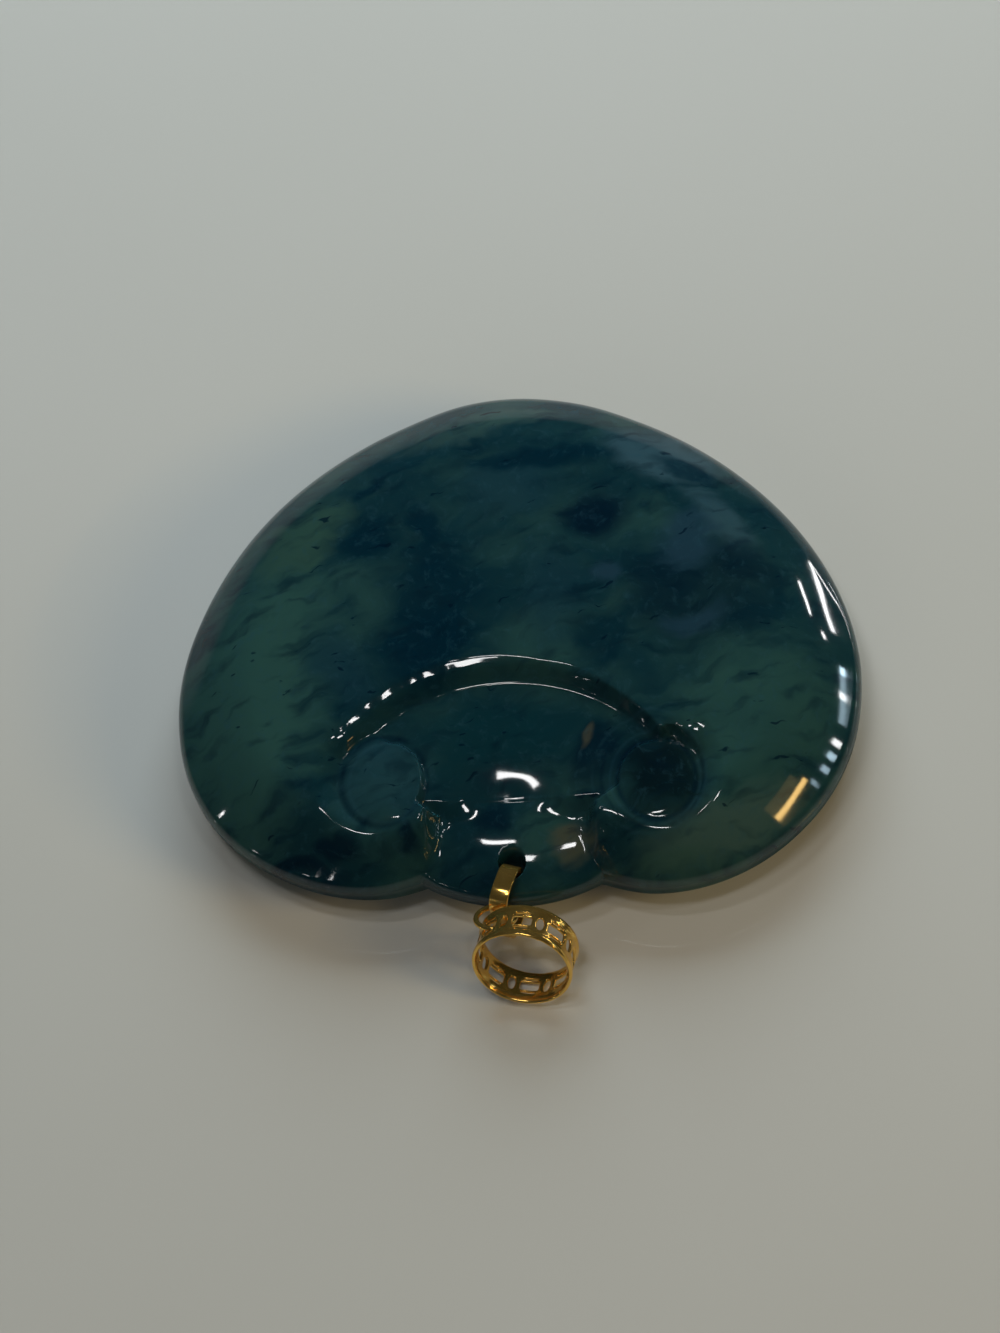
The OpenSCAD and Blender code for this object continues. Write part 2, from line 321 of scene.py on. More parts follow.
# The riser falls from a ridge on one circle to a foot on another: centre, radius. Where both
# circles meet, it is still this wide.
RISER_DROP = 0.95
RISER_LEAST_W = 0.05
RIDGE_CIRCLE = (-0.75 * PLAN, -15.1 * PLAN, 12.0 * PLAN)
FOOT_CIRCLE = (-0.3 * PLAN, -15.9 * PLAN, 11.75 * PLAN)
# Along the ridge and along the foot runs a facet, less steep than the riser by this factor. Width
# 1 is half of the riser's. Along the ridge: degrees from its top to the right, width.
FACET_SLOPE = 0.47
FACET_SOFT = 0.08
FOOT_FACET = 0.4
RIDGE_FACETS = [(-60, 1.0), (-20, 1.1), (-8, 1.1), (0, 1.0), (12, 0.5), (20, 0.9), (35, 0.0)]
# Hand polishing left the ridge wavy towards its left end: height, length and lean of the waves,
# how far inside the ridge their middle runs, half their breadth, and the angle in radians from
# which, and over which, they rise.
RIDGE_WAVE = 0.02
RIDGE_WAVE_L = 1.7
RIDGE_WAVE_LEAN = 0.6
RIDGE_WAVE_IN = 0.45
RIDGE_WAVE_HALF = 1.1
RIDGE_WAVE_FROM = 0.1
RIDGE_WAVE_OVER = 0.15
# The recess rolls down towards the lobe, inside this radius about a middle.
ROLL_MIDDLE = (-0.3 * PLAN, -14.15 * PLAN)
ROLL_FROM = 7.6 * PLAN
ROLL_R = 18.0

# A line across parts the recess from the lobe. The lobe starts with a low step, highest in the
# middle, eases to its own depth, and is slightly crowned across.
LOBE_LINE_Y = -11.2 * PLAN
LOBE_LIP = 0.3
LOBE_STEP = 0.06
LOBE_STEP_HALF = 3.6
LOBE_EASES = 1.4
LOBE_DROP = 1.55
LOBE_CROWN_R = 40.0
# The sunk middle ends in a soft flank on each side, which spreads outwards above the lobe.
FLANK_HALF = 4.6 * PLAN
FLANK_SOFT = 1.1
FLANK_SPREAD = 1.43
FLANK_SPREAD_Y = -12.2 * PLAN
# A shallow groove runs along the foot of each flank of the lobe.
FLANK_GROOVE = 0.14
FLANK_GROOVE_W = 0.6
FLANK_GROOVE_IN = 0.2
FLANK_GROOVE_TOP_Y = FLANK_SPREAD_Y + 1
FLANK_GROOVE_FADE = 1.5

# Volutes: centre, radius across, radius along Y, and the side, 1 on the right and -1 on the left.
RIGHT_VOLUTE = (8.4 * PLAN, -10.5 * PLAN, 2.75 * PLAN, 3.05 * PLAN, 1)
LEFT_VOLUTE = (-7.35 * PLAN, -10.2 * PLAN, 2.95 * PLAN, 3.3 * PLAN, -1)
# A groove starts this many degrees above the outer side, and runs down and round through so many
# degrees. On the way its radius closes in by a share, and opens again before the start.
GROOVE_START = 65
GROOVE_TURNS = 290
GROOVE_CLOSING = 0.26
GROOVE_REOPENS = 325
# Its depth loses a share of the riser's, over so many degrees, and gets it back before the start.
GROOVE_FADING = 0.62
GROOVE_FADES = 200
GROOVE_RISES = 60
# The wall outside it starts and ends over so many degrees, the end a little past the groove's, and
# grows narrower.
GROOVE_ENDS = 40
GROOVE_PAST = 20
WALL_START = 1.6
WALL_END = 0.6
WALL_POWER = 1.5
# Inside it lies a button: depth of its middle, fullness of its dome, softness of its rim.
BUTTON_DROP = 0.35
BUTTON_POWER = 2.4
BUTTON_SOFT = 0.3
# Fine rings that the carver's wheel left outside the grooves: height, step, and the reach over
# which they fade in and out, away from the groove and along it.
WHEEL_MARK = 0.003
WHEEL_MARK_STEP = 0.36
WHEEL_MARKS_REACH = 1.7
WHEEL_MARKS_FADE_IN = 0.4
WHEEL_MARKS_FADE_OUT = 0.8
WHEEL_MARKS_END = 170
WHEEL_MARKS_END_OVER = 50

# The drilled hole: its cutter's height, and how much wider than the drill it is there. Polishing
# eased both mouths.
HOLE_D = 1.56
HOLE_AT = np.array([0.0, -15.0]) * PLAN
HOLE_SIDES = 72
HOLE_PROFILE = [
    (-1.0, 1.25), (0.75, 0.25), (1.0, 0.08), (1.3, 0.0), (4.9, 0.0), (5.2, 0.07), (5.5, 0.25),
    (HEAD_T + 1, 1.25),
]
# The back is hollowed round the hole, so that the link clears the table.
HOLLOW_DEPTH = 0.85
HOLLOW_R = 2.2

# Slight waves that hand polishing leaves: length in X and in Y, height.
POLISH_WAVES = [
    (1.7, 4.1, 0.0012), (-3.9, 1.9, 0.0015), (2.3, -2.9, 0.0012), (7.5, 5.5, 0.005),
]

# Facets round the head, and rings of them under the edge, on the shoulder, across the crown and
# inside the carved border. The shoulder's rings reach this far in.
DIRECTIONS = 440
RINGS_BACK = 18
RINGS_SHOULDER = 34
RINGS_CROWN = 30
RINGS_CARVED = 112
RING_REACH = 4.6
# An edge between facets is left sharp from this many degrees.
SHARP_FROM = 50


def polar_rows(points):
    """Points of the outline as angle and radius about the hub, in rising order of angle."""
    away = np.array(points, float)[::-1] * PLAN - HUB
    return np.column_stack([np.degrees(np.arctan2(away[:, 1], away[:, 0])),
                            np.hypot(away[:, 0], away[:, 1])])


def smooth_curve(rows, angle):
    """A smooth curve through rows of angle and value, level at both ends."""
    at, value = rows[:, 0], rows[:, 1]
    slope = np.zeros(len(rows))
    slope[1:-1] = (value[2:] - value[:-2]) / (at[2:] - at[:-2])
    i = np.clip(np.searchsorted(at, angle, side="right") - 1, 0, len(rows) - 2)
    step = at[i + 1] - at[i]
    t = (angle - at[i]) / step
    return (value[i] * (1 + 2 * t) * (1 - t) ** 2 + value[i + 1] * t * t * (3 - 2 * t)
            + step * t * (1 - t) * (slope[i] * (1 - t) - slope[i + 1] * t))


def half_angle(turn):
    """Degrees above the level through the hub, the same on the left as on the right."""
    return np.degrees(np.arctan2(np.sin(turn), np.abs(np.cos(turn))))


def left_gain(turn):
    """How much further out the outline lies than on the right half."""
    angle = half_angle(turn)
    trim = ease((-angle - LEFT_TRIM_FROM) / LEFT_TRIM_OVER) * (np.cos(turn) < 0)
    swell = ease((angle - LEFT_SWELL_FROM) / LEFT_SWELL_OVER)
    swell = swell * ease(LEFT_SWELL_FADE - np.cos(turn) / LEFT_SWELL_FADE)
    return LEFT_SWELL * swell - LEFT_TRIM * trim


def outline_r(turn):
    """Radius of the outline about the hub: the side lobe or the middle lobe, whichever is larger."""
    side = smooth_curve(polar_rows(SIDE_OUTLINE), half_angle(turn)) + left_gain(turn)
    arc_off = LOBE_END_Y + LOBE_ARC_R - HUB[1]
    lobe = arc_off * np.sin(turn) + np.sqrt(LOBE_ARC_R ** 2 - (arc_off * np.cos(turn)) ** 2)
    return soft_max(side, lobe, NOTCH_SOFT)


def border_r(turn):
    """Radius of the carved middle's border about the hub, always inside the shoulder."""
    rows = np.array(CARVED_BORDER, float) * (1, PLAN)
    return np.minimum(smooth_curve(rows, half_angle(turn)), outline_r(turn) - RING_REACH)


def back_shoulder(inset):
    return np.sqrt(1 - (1 - np.clip(inset / SHOULDER_BACK, 0, 1)) ** BACK_POWER)


def shoulder_table(edge_r, edge_tilt):
    """Distance in from the outline, and the share of the shoulder's rise that is reached there."""
    tilt = math.radians(edge_tilt)
    inset = np.linspace(0, SHOULDER_TOP, SHOULDER_STEPS)
    arc_end = edge_r * (1 - math.sin(tilt))
    arc = np.sqrt(edge_r ** 2 - (edge_r - np.minimum(inset, arc_end)) ** 2)
    eased = np.clip((inset - arc_end) / (SHOULDER_TOP - arc_end), 0, 1)
    slope = np.tan(tilt * (1 - eased ** EASING_POWER)) * (inset > arc_end)
    climb = np.cumsum((slope[1:] + slope[:-1]) / 2 * np.diff(inset))
    rise = arc + np.concatenate([[0], climb])
    return inset, rise / rise[-1]


SIDE_TABLE = shoulder_table(*SIDE_EDGE)
TIP_TABLE = shoulder_table(*TIP_EDGE)


def front_shoulder(x, y, inset):
    upward = (y - HUB[1]) / np.maximum(away_from(HUB, x, y), HUB_CLEAR)
    tip = ease((upward - TIP_FROM) / TIP_OVER)
    return np.interp(inset, *SIDE_TABLE) * (1 - tip) + np.interp(inset, *TIP_TABLE) * tip


def ridge_turn(x, y):
    """Angle about the ridge's circle, from its top to the right."""
    return np.arctan2(x - RIDGE_CIRCLE[0], y - RIDGE_CIRCLE[1])


def riser_share(x, y):
    """0 outside the ridge, 1 inside the foot."""
    past_ridge = RIDGE_CIRCLE[2] - away_from(RIDGE_CIRCLE, x, y)
    to_foot = away_from(FOOT_CIRCLE, x, y) - FOOT_CIRCLE[2]
    share = past_ridge / np.maximum(past_ridge + np.maximum(to_foot, 0), RISER_LEAST_W)
    share = np.where(to_foot < 0, 1 - to_foot, share)
    width = np.interp(np.degrees(ridge_turn(x, y)), *zip(*RIDGE_FACETS))
    facet = FACET_SLOPE * (share + width * (1 - FACET_SLOPE) / 2)
    share = soft_max(soft_max(share, facet, FACET_SOFT), 0, FACET_SOFT)
    facet = 1 + FACET_SLOPE * (share - 1 - FOOT_FACET * (1 - FACET_SLOPE) / 2)
    return soft_min(soft_min(share, facet, FACET_SOFT), 1, FACET_SOFT)


def ridge_waves(x, y):
    """Slight waves along the ridge, from a little left of its top to its left end."""
    outside = away_from(RIDGE_CIRCLE, x, y) - RIDGE_CIRCLE[2]
    turn = ridge_turn(x, y)
    run = 2 * math.pi * turn * RIDGE_CIRCLE[2] / RIDGE_WAVE_L + RIDGE_WAVE_LEAN * outside
    across = ease(1 - np.abs(outside + RIDGE_WAVE_IN) / RIDGE_WAVE_HALF)
    along = ease((-RIDGE_WAVE_FROM - turn) / RIDGE_WAVE_OVER)
    return RIDGE_WAVE * np.sin(run) * across * along


def roll_depth(x, y):
    inside = np.maximum(ROLL_FROM - away_from(ROLL_MIDDLE, x, y), 0)
    return inside ** 2 / (2 * ROLL_R)


def flank_share(x, y):
    """1 between the flanks, 0 outside them."""
    half = FLANK_HALF + np.maximum(y - FLANK_SPREAD_Y, 0) * FLANK_SPREAD
    return ease_across(half - np.abs(x), FLANK_SOFT)


def flank_groove_depth(x, y):
    across = 1 - np.abs(np.abs(x) - FLANK_HALF + FLANK_GROOVE_IN) / FLANK_GROOVE_W
    return FLANK_GROOVE * ease(across) * ease((FLANK_GROOVE_TOP_Y - y) / FLANK_GROOVE_FADE)


def sunk_depth(x, y):
    """Depth of the sunk middle: the recess, and the lobe that a low step parts from it."""
    on_lobe = ease((LOBE_LINE_Y - y) / LOBE_LIP)
    recess = RISER_DROP * riser_share(x, y) + roll_depth(x, y)
    at_line = RISER_DROP + roll_depth(x, LOBE_LINE_Y)
    under_line = at_line + LOBE_STEP * np.maximum(1 - (x / LOBE_STEP_HALF) ** 2, 0)
    down = ease((LOBE_LINE_Y - y) / LOBE_EASES)
    lobe = under_line * (1 - down) + (LOBE_DROP + x ** 2 / (2 * LOBE_CROWN_R)) * down
    depth = np.minimum(recess, at_line) * (1 - on_lobe) + lobe * on_lobe
    return depth * flank_share(x, y) + flank_groove_depth(x, y)


def wheel_marks(beyond, run):
    """Height of the wheel's marks this far outside a groove and along it."""
    across = ease(beyond / WHEEL_MARKS_FADE_IN)
    across = across * ease((WHEEL_MARKS_REACH - beyond) / WHEEL_MARKS_FADE_OUT)
    along = ease((WHEEL_MARKS_END - run) / WHEEL_MARKS_END_OVER)
    return WHEEL_MARK * np.sin(beyond * 2 * math.pi / WHEEL_MARK_STEP) * across * along


def volute_depths(volute, x, y):
    """Depth of the wall outside a volute's groove, of its button, and the button's share."""
    middle_x, middle_y, radius_x, radius_y, side = volute
    stretched = (y - middle_y) * radius_x / radius_y
    away = np.hypot(x - middle_x, stretched)
    run = (GROOVE_START - np.degrees(np.arctan2(stretched, (x - middle_x) * side))) % 360
    reopened = ease((run - GROOVE_REOPENS) / (360 - GROOVE_REOPENS))
    along = np.clip(run / GROOVE_TURNS, 0, 1) * (1 - reopened)
    groove = radius_x * (1 - GROOVE_CLOSING * along)
    fading = ease(run / GROOVE_FADES) * ease((360 - run) / GROOVE_RISES)
    drop = RISER_DROP * (1 - GROOVE_FADING * fading)
    share = ease(run / GROOVE_ENDS) * ease((GROOVE_TURNS + GROOVE_PAST - run) / GROOVE_ENDS)
    width = WALL_START + (WALL_END - WALL_START) * along
    beyond = np.maximum(away - groove, 0)
    wall = drop * share * np.clip(1 - beyond / width, 0, 1) ** WALL_POWER
    wall = wall + wheel_marks(beyond, run)
    button = BUTTON_DROP + (drop - BUTTON_DROP) * np.minimum(away / groove, 1) ** BUTTON_POWER
    return wall, button, ease_across(groove - away, BUTTON_SOFT)


def carve_depth(x, y):
    """Depth of the carving under the crown."""
    right = volute_depths(RIGHT_VOLUTE, x, y)
    left = volute_depths(LEFT_VOLUTE, x, y)
    wall, button, inside = (np.where(x > 0, r, l) for r, l in zip(right, left))
    sunk = sunk_depth(x, y)
    outside = np.maximum(sunk, wall) + np.minimum(wall, 0)
    return outside * (1 - inside) + button * inside


def polish_waves(x, y):
    return sum(height * np.sin(2 * math.pi * (x / in_x + y / in_y) + k)
               for k, (in_x, in_y, height) in enumerate(POLISH_WAVES))


def front_z(x, y, inset):
    """Height of the front, this far in from the outline."""
    crown = 1 - (x / CROWN_HALF[0]) ** 2 - (y / CROWN_HALF[1]) ** 2
    full = front_shoulder(x, y, inset)
    rise = SHOULDER_RISE + CROWN_RISE * soft_max(crown, 0, CROWN_SOFT)
    sunk = carve_depth(x, y) + ridge_waves(x, y) + WAVES_CLEAR + polish_waves(x, y)
    return EDGE_Z + full * (rise - sunk * full)


def back_z(x, y, inset):
    """Height of the back, this far in from the outline."""
    full = back_shoulder(inset)
    away = np.clip(away_from(HOLE_AT, x, y) / HOLLOW_R, 0, 1)
    return EDGE_Z * (1 - full) + HOLLOW_DEPTH * (1 - away ** 2) ** 2 * full


def ring_radii(edge, border):
    """Radii of every ring of points, from the flat back round the edge to the hub."""
    back = [edge - SHOULDER_BACK * (1 - math.cos(math.pi / 2 * k / RINGS_BACK))
            for k in range(RINGS_BACK, 0, -1)]
    front = [edge - RING_REACH * (1 - math.cos(math.pi / 2 * k / RINGS_SHOULDER))
             for k in range(RINGS_SHOULDER + 1)]
    start = edge - RING_REACH
    front += [start + (border - start) * k / RINGS_CROWN for k in range(1, RINGS_CROWN + 1)]
    front += [border * (1 - k / RINGS_CARVED) for k in range(1, RINGS_CARVED)]
    return back, front


def ring_faces(rings, corners):
    """A cap on the first ring of points, quads between rings, and a fan to one last point."""
    faces = [list(range(corners))]
    for k in range(rings - 1):
        a = k * corners
        b = a + corners
        faces += [[a + i, b + i, b + (i + 1) % corners, a + (i + 1) % corners]
                  for i in range(corners)]
    last = (rings - 1) * corners
    top = rings * corners
    faces += [[last + i, top, last + (i + 1) % corners] for i in range(corners)]
    return faces


def head_mesh():
    turn = np.arange(DIRECTIONS) * 2 * math.pi / DIRECTIONS
    edge, border = outline_r(turn), border_r(turn)
    back, front = ring_radii(edge, border)
    points = []
    for radii, height in [(r, back_z) for r in back] + [(r, front_z) for r in front]:
        x = HUB[0] + radii * np.cos(turn)
        y = HUB[1] + radii * np.sin(turn)
        inset = np.maximum(edge - radii, 0)
        points.append(np.column_stack([x, y, height(x, y, inset)]))
    hub_z = front_z(HUB[0:1], HUB[1:2], np.array([SHOULDER_TOP]))[0]
    points.append(np.array([[HUB[0], HUB[1], hub_z]]))
    faces = ring_faces(len(back) + len(front), DIRECTIONS)
    faces = [face[::-1] for face in faces]
    return new_mesh("carved_head", np.vstack(points) * MM, faces)


def hole_cutter():
    profile = [(HOLE_D / 2 + wider, height) for height, wider in HOLE_PROFILE]
    mesh = lathe("hole_cutter", profile, HOLE_SIDES)
    mesh.transform(Matrix.Translation((HOLE_AT[0] * MM, HOLE_AT[1] * MM, 0)) @ Matrix.Scale(MM, 4))
    return new_object("hole_cutter", mesh)


def carved_head(material):
    stone = new_object("carved_head", head_mesh())
    cutter = hole_cutter()
    cut = stone.modifiers.new("hole", "BOOLEAN")
    cut.operation = "DIFFERENCE"
    cut.solver = "EXACT"
    cut.object = cutter
    apply_modifiers(stone)
    bpy.data.objects.remove(cutter)
    stone.data.materials.clear()
    stone.data.materials.append(material)
    stone.data.shade_smooth()
    stone.data.set_sharp_from_angle(angle=math.radians(SHARP_FROM))
    keep_piece(stone, ["jade_head"])


# Geometry node trees

class Maker(Tree):
    """A new geometry node tree with named inputs, which is run once on an object."""

    def __init__(self, name, sizes, takes_mesh=False):
        super().__init__(bpy.data.node_groups.new(name, "GeometryNodeTree"))
        self.sockets = {}
        if takes_mesh:
            self.new_input("Geometry", "NodeSocketGeometry", None)
        for size_name, value in sizes.items():
            kind = "NodeSocketInt" if isinstance(value, int) else "NodeSocketFloat"
            self.new_input(size_name, kind, value)
        self.new_input("Material", "NodeSocketMaterial", None)
        self.tree.interface.new_socket("Geometry", in_out="OUTPUT", socket_type="NodeSocketGeometry")
        self.inputs = self.tree.nodes.new("NodeGroupInput")

    def new_input(self, name, kind, value):
        made = self.tree.interface.new_socket(name, in_out="INPUT", socket_type=kind)
        self.sockets[name] = (made.identifier, value)

    def size(self, name):
        """What comes in by this name."""
        return Wire(self.tree, self.inputs.outputs[name])

    def finish(self, geometry):
        """Ends the tree: real mesh, smooth faces and the material."""
        geometry = self.add("GeometryNodeRealizeInstances", {}, {"Geometry": geometry})
        geometry = self.add("GeometryNodeSetShadeSmooth", {}, {"Geometry": geometry})
        geometry = self.add("GeometryNodeSetMaterial", {},
                            {"Geometry": geometry, "Material": self.size("Material")})
        self.add("NodeGroupOutput", {}, {"Geometry": geometry})

    def run(self, name, material, place, mesh=None):
        """Runs the tree, on a mesh if it takes one, and returns a plain object in its place."""
        made = new_object(name, mesh or bpy.data.meshes.new(name))
        modifier = made.modifiers.new("maker", "NODES")
        modifier.node_group = self.tree
        for identifier, value in self.sockets.values():
            if value is not None:
                modifier[identifier] = value
        modifier[self.sockets["Material"][0]] = material
        apply_modifiers(made)
        made.data.transform(Matrix.Scale(MM, 4) @ place)
        return made


# How uneven the goldsmith's hand left each gold piece: grain and height of it.
UNEVEN = {"jump_ring": (0.7, 0.03), "strip_link": (1.2, 0.04), "bail_ring": (0.5, 0.03)}


def hand_finish(tree, geometry, grain, height):
    """Moves the surface by a soft noise, so that the piece isn't machine perfect."""
    place = tree.add("GeometryNodeInputPosition")
    offset = tree.drift(place, scale=1 / grain, detail=1.0, reach=height)
    return tree.add("GeometryNodeSetPosition", {}, {"Geometry": geometry, "Offset": offset})


def turned(angles):
    return Euler([math.radians(a) for a in angles], "XYZ").to_matrix().to_4x4()


# Bail ring and jump ring: the bail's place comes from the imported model, and it leans back by the
# rise and heading of its axis.
bail_low, bail_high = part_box("bail_ring")
BAIL_RISE = 16.3
BAIL_HEADING = -98.95
BAIL_SPIN = 1.5
BAIL_PLACE = (Matrix.Translation((bail_low + bail_high) / 2 / MM)
              @ turned((0, 90 - BAIL_RISE, BAIL_HEADING)))
# The jump ring hangs in the bail's openwork: angle about the bail's axis, distance from it, height
# along it, and how the jump ring's own axis is turned in the bail's frame.
JUMP_R = 1.14
JUMP_WIRE = 0.34
JUMP_ANGLE = math.radians(-130.2)
JUMP_OUT = 2.483
JUMP_HEIGHT = -1.1472
JUMP_FACING = (0, 78.8, 6)
JUMP_LOCAL = (JUMP_OUT * math.cos(JUMP_ANGLE), JUMP_OUT * math.sin(JUMP_ANGLE), JUMP_HEIGHT)
JUMP_PLACE = BAIL_PLACE @ Matrix.Translation(JUMP_LOCAL) @ turned(JUMP_FACING)
JUMP_SIDES = 72
WIRE_SIDES = 20


def jump_ring(material):
    tree = Maker("wire_ring", {"Radius": JUMP_R, "Wire radius": JUMP_WIRE / 2})
    path = tree.add("GeometryNodeCurvePrimitiveCircle", {},
                    {"Resolution": JUMP_SIDES, "Radius": tree.size("Radius")})
    section = tree.add("GeometryNodeCurvePrimitiveCircle", {},
                       {"Resolution": WIRE_SIDES, "Radius": tree.size("Wire radius")})
    tube = tree.add("GeometryNodeCurveToMesh", {}, {"Curve": path, "Profile Curve": section})
    tree.finish(hand_finish(tree, tube, *UNEVEN["jump_ring"]))
    ring = tree.run("wire_jump_ring", material, JUMP_PLACE)
    keep_piece(ring, ["jump_ring"])


# Strip link: a strip bent into a long loop through the hole. Its loop lies in the XZ plane of its
# own frame, with X pointing out from the hole.
STRIP_W = 1.1
STRIP_T = 0.26
STRIP_EDGE = 0.3
STRIP_EDGE_STEPS = 4
LINK_SPAN = 2.743
LINK_LOW = 0.42
LINK_HIGH = 5.5
LINK_CORNER = 1.17
LINK_CORNER_STEPS = 14
LINK_TURN = 17.2


def strip_link(material):
    tree = Maker("strip_loop", {"Loop width": LINK_SPAN, "Loop height": LINK_HIGH - LINK_LOW - STRIP_T,
                                "Corner": LINK_CORNER - STRIP_T / 2, "Strip width": STRIP_W,
                                "Strip thickness": STRIP_T})
    path = tree.add("GeometryNodeCurvePrimitiveQuadrilateral", {},
                    {"Width": tree.size("Loop width"), "Height": tree.size("Loop height")})
    path = tree.add("GeometryNodeFilletCurve", {"mode": "POLY"},
                    {"Curve": path, "Count": LINK_CORNER_STEPS, "Radius": tree.size("Corner")})
    path = tree.add("GeometryNodeSetCurveNormal", {"mode": "Z_UP"}, {"Curve": path})
    section = tree.add("GeometryNodeCurvePrimitiveQuadrilateral", {},
                       {"Width": tree.size("Strip thickness"), "Height": tree.size("Strip width")})
    section = tree.add("GeometryNodeFilletCurve", {"mode": "POLY"},
                       {"Curve": section, "Count": STRIP_EDGE_STEPS,
                        "Radius": tree.size("Strip thickness") * STRIP_EDGE})
    strip = tree.add("GeometryNodeCurveToMesh", {}, {"Curve": path, "Profile Curve": section})
    tree.finish(hand_finish(tree, strip, *UNEVEN["strip_link"]))
    away = math.radians(-90 - LINK_TURN)
    middle = (LINK_LOW + LINK_HIGH) / 2
    place = (Matrix.Translation((HOLE_AT[0], HOLE_AT[1], middle)) @ Matrix.Rotation(away, 4, "Z")
             @ Matrix.Translation((LINK_SPAN / 2, 0, 0)) @ turned((90, 0, 0)))
    link = tree.run("bent_strip_link", material, place)
    keep_piece(link, ["strip_link"])


# Bail ring: one repeat of the openwork as a cage of quads, in the angle round the axis, given as a
# length at the band's middle radius, and the height along it.
BAIL_REPEATS = 8
BAND_R = 2.76
LENS_HALF = 0.22
# Lines across one half of a repeat: middle of the window, end of the slit, end of the window,
# between window and lens, edge of the lens, middle of the lens.
HALF_REPEAT = math.pi * BAND_R / BAIL_REPEATS
HALF_LINES = [0.0, 0.25, 0.42, 0.56, 0.7, HALF_REPEAT - LENS_HALF, HALF_REPEAT]
CAGE_ACROSS = [-s for s in HALF_LINES[:0:-1]] + HALF_LINES
CAGE_MIDDLE = len(HALF_LINES) - 1
# Lines up the ring: height, outer radius, inner radius.
CAGE_UP = [
    (-1.172, 2.86, 2.79), (-1.12, 2.94, 2.7), (-0.9, 2.95, 2.66), (-0.8, 2.88, 2.66),
    (-0.68, 2.87, 2.66), (-0.61, 2.87, 2.66), (-0.48, 2.87, 2.66), (-0.34, 2.87, 2.66),
    (-0.13, 2.87, 2.66), (0.07, 2.87, 2.66), (0.28, 2.87, 2.66), (0.42, 2.87, 2.66),
    (0.55, 2.87, 2.66), (0.63, 2.87, 2.66), (0.72, 2.88, 2.66), (0.8, 2.95, 2.66),
    (1.1, 2.95, 2.7), (1.172, 2.87, 2.79),
]
# Cells left out, as first and last line across from the middle and up: window, two slits, lens.
WINDOW_CELLS = (0, 3, 7, 10)
LOW_SLIT_CELLS = (0, 2, 5, 6)
HIGH_SLIT_CELLS = (0, 2, 11, 12)
LENS_CELLS = (5, 6, 6, 11)
GAPS = (WINDOW_CELLS, LOW_SLIT_CELLS, HIGH_SLIT_CELLS, LENS_CELLS)
# How far the lens's edge draws in towards its middle at each line up that it spans.
LENS_DRAWS_IN = {6: 0.75, 7: 0.28, 8: 0.03, 9: 0.03, 10: 0.28, 11: 0.75}
# Two repeats are joined where their corners lie this close, and then rounded so many times.
BAIL_WELD = 0.0005
BAIL_ROUNDINGS = 2


def is_metal(i, j):
    """Whether the cell that starts at these lines across and up is metal. The end of the repeat is
    followed by the next one's half lens."""
    if not 0 <= j < len(CAGE_UP) - 1:
        return False
    across = i - CAGE_MIDDLE if i >= CAGE_MIDDLE else CAGE_MIDDLE - 1 - i
    across = min(across, LENS_CELLS[0])
    return not any(a <= across < b and low <= j < high for a, b, low, high in GAPS)


def cage_corner(i, j, skin):
    """Where two lines cross, on the outer skin, 0, or the inner skin, 1."""
    along = CAGE_ACROSS[i]
    if abs(i - CAGE_MIDDLE) == LENS_CELLS[0] and j in LENS_DRAWS_IN:
        along = math.copysign(abs(along) + LENS_HALF * LENS_DRAWS_IN[j], along)
    turn = along / BAND_R
    height = CAGE_UP[j][0]
    radius = CAGE_UP[j][1 + skin]
    return radius * math.cos(turn), radius * math.sin(turn), height


def add_cell(mesh, corner, i, j):
    """Both skins of a cell, and a wall on each side where a gap begins."""
    around = [(i, j), (i + 1, j), (i + 1, j + 1), (i, j + 1)]
    mesh.faces.new([corner[a, b, 0] for a, b in around])
    mesh.faces.new([corner[a, b, 1] for a, b in reversed(around)])
    beyond = [(i, j - 1), (i + 1, j), (i, j + 1), (i - 1, j)]
    for k, (a, b) in enumerate(beyond):
        if not is_metal(a, b):
            p, q = around[k], around[(k + 1) % 4]
            mesh.faces.new([corner[p + (0,)], corner[p + (1,)], corner[q + (1,)], corner[q + (0,)]])


def cage_mesh():
    """Both halves of one repeat: an outer skin, an inner skin, and walls round the gaps."""
    mesh = bmesh.new()
    corner = {}
    for i in range(len(CAGE_ACROSS)):
        for j in range(len(CAGE_UP)):
            for skin in range(2):
                corner[i, j, skin] = mesh.verts.new(cage_corner(i, j, skin))
    for i in range(len(CAGE_ACROSS) - 1):
        for j in range(len(CAGE_UP) - 1):
            if is_metal(i, j):
                add_cell(mesh, corner, i, j)
    loose = [v for v in mesh.verts if not v.link_faces]
    bmesh.ops.delete(mesh, geom=loose, context="VERTS")
    made = bpy.data.meshes.new("pierced_repeat")
    mesh.to_mesh(made)
    mesh.free()
    return made


